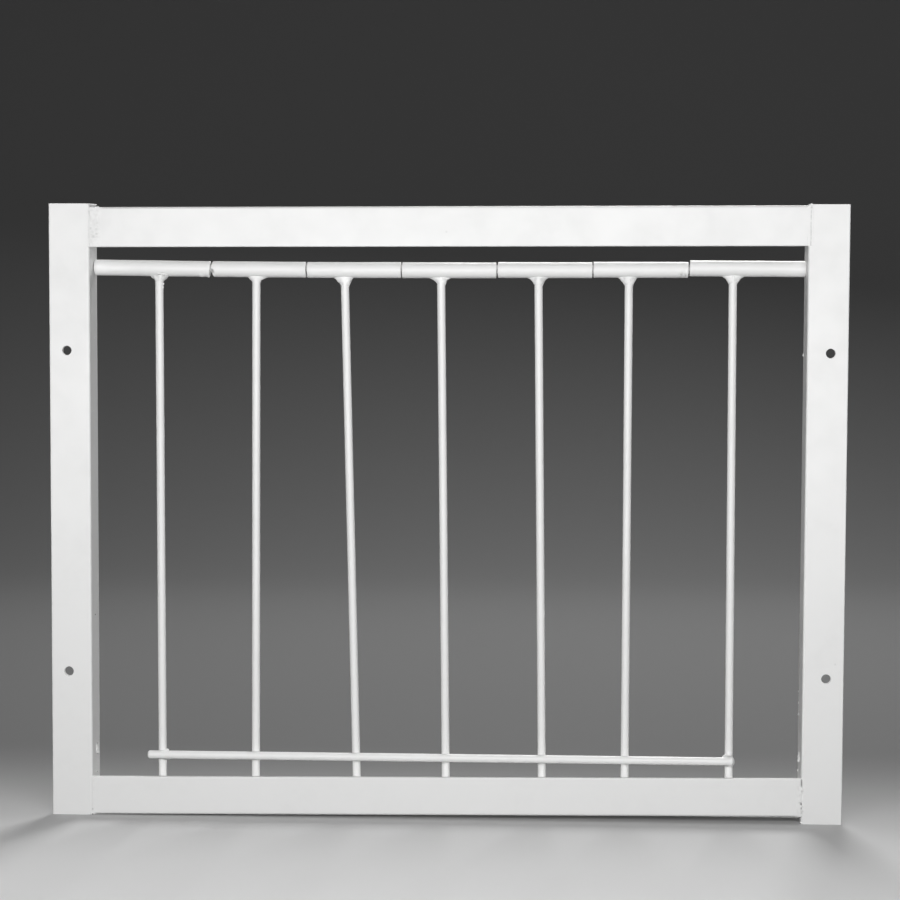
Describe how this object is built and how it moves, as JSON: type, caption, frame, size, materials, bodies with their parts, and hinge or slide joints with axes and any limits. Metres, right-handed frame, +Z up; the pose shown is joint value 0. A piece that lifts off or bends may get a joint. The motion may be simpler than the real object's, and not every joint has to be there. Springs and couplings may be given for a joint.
{
  "type": "one-way loft gate",
  "caption": "Wall-mounted one-way entry gate: welded angle-iron frame with a row of bars hung on a hinge rod, swinging inwards only, a push bar across their front.",
  "frame": {"origin": "centre of the four wall screw holes, on the back face of the front flanges", "axes": "+X to the right seen from the front, +Y back into the wall, the way the bars swing, +Z up"},
  "size_m": [0.3, 0.015, 0.2324],
  "materials": {
    "frame_paint": "semi-gloss white paint on angle iron",
    "bar_paint": "semi-gloss white paint on tube and wire",
    "weld_beads": "lumpy weld beads under the same white paint"
  },
  "bodies": {
    "frame": {"left_stile": "frame_paint", "right_stile": "frame_paint", "top_rail": "frame_paint", "bottom_rail": "frame_paint", "hinge_rod": "bar_paint", "corner_weld_top_left": "weld_beads", "corner_weld_top_right": "weld_beads", "corner_weld_bottom_left": "weld_beads", "corner_weld_bottom_right": "weld_beads", "hinge_rod_weld_left": "weld_beads", "hinge_rod_weld_right": "weld_beads"},
    "push_frame": {"sleeve_1": "bar_paint", "bar_1": "bar_paint", "bar_weld_1": "weld_beads", "sleeve_7": "bar_paint", "bar_7": "bar_paint", "bar_weld_7": "weld_beads", "push_bar": "bar_paint", "push_bar_weld_1": "weld_beads", "push_bar_weld_7": "weld_beads"},
    "free_bar_2": {"sleeve_2": "bar_paint", "bar_2": "bar_paint", "bar_weld_2": "weld_beads"},
    "free_bar_3": {"sleeve_3": "bar_paint", "bar_3": "bar_paint", "bar_weld_3": "weld_beads"},
    "free_bar_4": {"sleeve_4": "bar_paint", "bar_4": "bar_paint", "bar_weld_4": "weld_beads"},
    "free_bar_5": {"sleeve_5": "bar_paint", "bar_5": "bar_paint", "bar_weld_5": "weld_beads"},
    "free_bar_6": {"sleeve_6": "bar_paint", "bar_6": "bar_paint", "bar_weld_6": "weld_beads"}
  },
  "joints": [
    {"name": "push_frame_swing", "type": "hinge", "parent": "frame", "child": "push_frame", "pos_m": [0, 0.008, 0.0922], "axis": [1, 0, 0], "range_deg": [-1.7, 70]},
    {"name": "free_bar_2_swing", "type": "hinge", "parent": "push_frame", "child": "free_bar_2", "pos_m": [0, 0.008, 0.0922], "axis": [1, 0, 0], "range_deg": [0, 85]},
    {"name": "free_bar_3_swing", "type": "hinge", "parent": "push_frame", "child": "free_bar_3", "pos_m": [0, 0.008, 0.0922], "axis": [1, 0, 0], "range_deg": [0, 85]},
    {"name": "free_bar_4_swing", "type": "hinge", "parent": "push_frame", "child": "free_bar_4", "pos_m": [0, 0.008, 0.0922], "axis": [1, 0, 0], "range_deg": [0, 85]},
    {"name": "free_bar_5_swing", "type": "hinge", "parent": "push_frame", "child": "free_bar_5", "pos_m": [0, 0.008, 0.0922], "axis": [1, 0, 0], "range_deg": [0, 85]},
    {"name": "free_bar_6_swing", "type": "hinge", "parent": "push_frame", "child": "free_bar_6", "pos_m": [0, 0.008, 0.0922], "axis": [1, 0, 0], "range_deg": [0, 85]}
  ]
}
